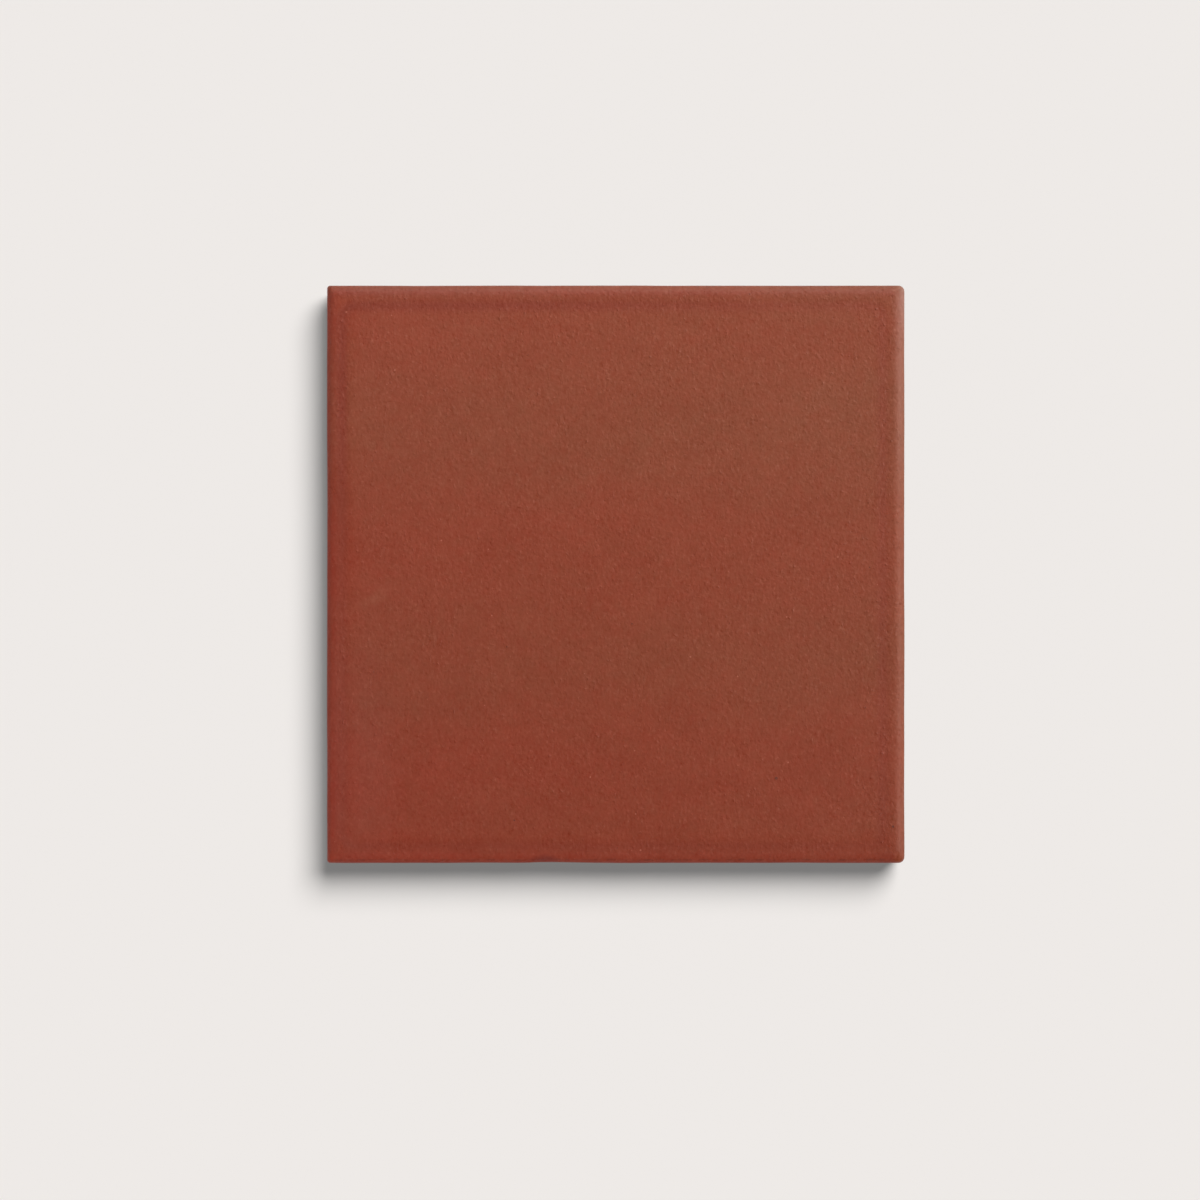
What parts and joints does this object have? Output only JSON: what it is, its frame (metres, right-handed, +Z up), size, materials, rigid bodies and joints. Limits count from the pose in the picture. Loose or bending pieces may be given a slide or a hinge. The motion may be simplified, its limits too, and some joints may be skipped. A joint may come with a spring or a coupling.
{
  "type": "ceramic tile",
  "caption": "Square pressed ceramic tile with a matte brick-red glazed face, softly rolled edges and a keyed biscuit back.",
  "frame": {"origin": "middle of the plane that the tips of the back ribs rest on", "axes": "+X to the tile's right and +Y to its rear as it lies on its back, +Z up through the glazed face"},
  "size_m": [0.1, 0.1, 0.008],
  "materials": {
    "fired_tile": "satin"
  },
  "bodies": {
    "root": {"tile": "fired_tile"}
  },
  "joints": []
}
